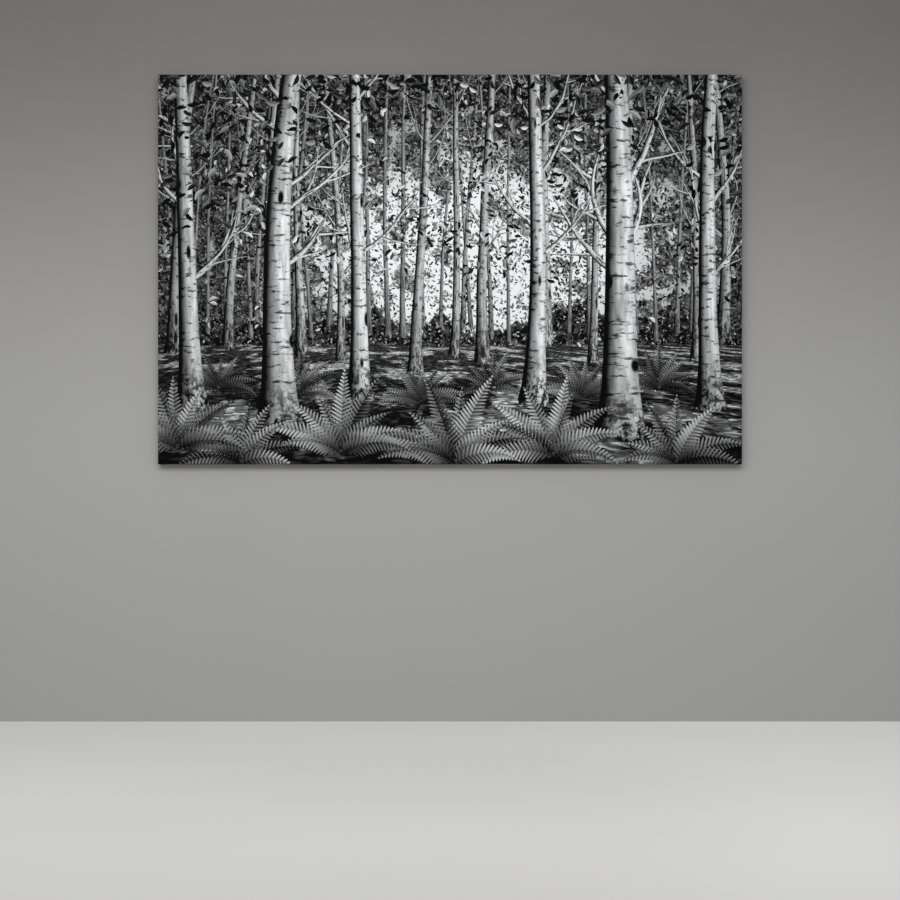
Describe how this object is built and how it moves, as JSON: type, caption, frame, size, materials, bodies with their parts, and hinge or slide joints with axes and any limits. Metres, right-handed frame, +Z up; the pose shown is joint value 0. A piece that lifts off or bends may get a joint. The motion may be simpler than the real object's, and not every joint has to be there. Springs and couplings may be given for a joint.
{
  "type": "stretched canvas wall picture",
  "caption": "Wide frameless picture on canvas, wrapped round a braced and keyed wooden stretcher, that hangs flat on a wall.",
  "frame": {"origin": "on the wall plane, in the middle of the rear face of the cloth turned in along the top edge", "axes": "+Y points into the wall, so the picture faces -Y; +X runs along the width, to the right as seen from the front; +Z is up"},
  "size_m": [2.4, 0.04, 1.6],
  "materials": {
    "cloth": "satin",
    "pine": "matte",
    "beech": "matte",
    "staple": "satin"
  },
  "bodies": {
    "root": {"canvas": "cloth", "bar_top": "pine", "bar_bottom": "pine", "bar_left": "pine", "bar_right": "pine", "brace_left": "pine", "brace_right": "pine", "brace_level": "pine", "key_top_left_level": "beech", "key_top_left_upright": "beech", "key_bottom_left_level": "beech", "key_bottom_left_upright": "beech", "key_top_right_level": "beech", "key_top_right_upright": "beech", "key_bottom_right_level": "beech", "key_bottom_right_upright": "beech", "key_brace_left_top_a": "beech", "key_brace_left_top_b": "beech", "key_brace_left_bottom_a": "beech", "key_brace_left_bottom_b": "beech", "key_brace_right_top_a": "beech", "key_brace_right_top_b": "beech", "key_brace_right_bottom_a": "beech", "key_brace_right_bottom_b": "beech", "key_brace_level_left_a": "beech", "key_brace_level_left_b": "beech", "key_brace_level_right_a": "beech", "key_brace_level_right_b": "beech"}
  },
  "joints": []
}
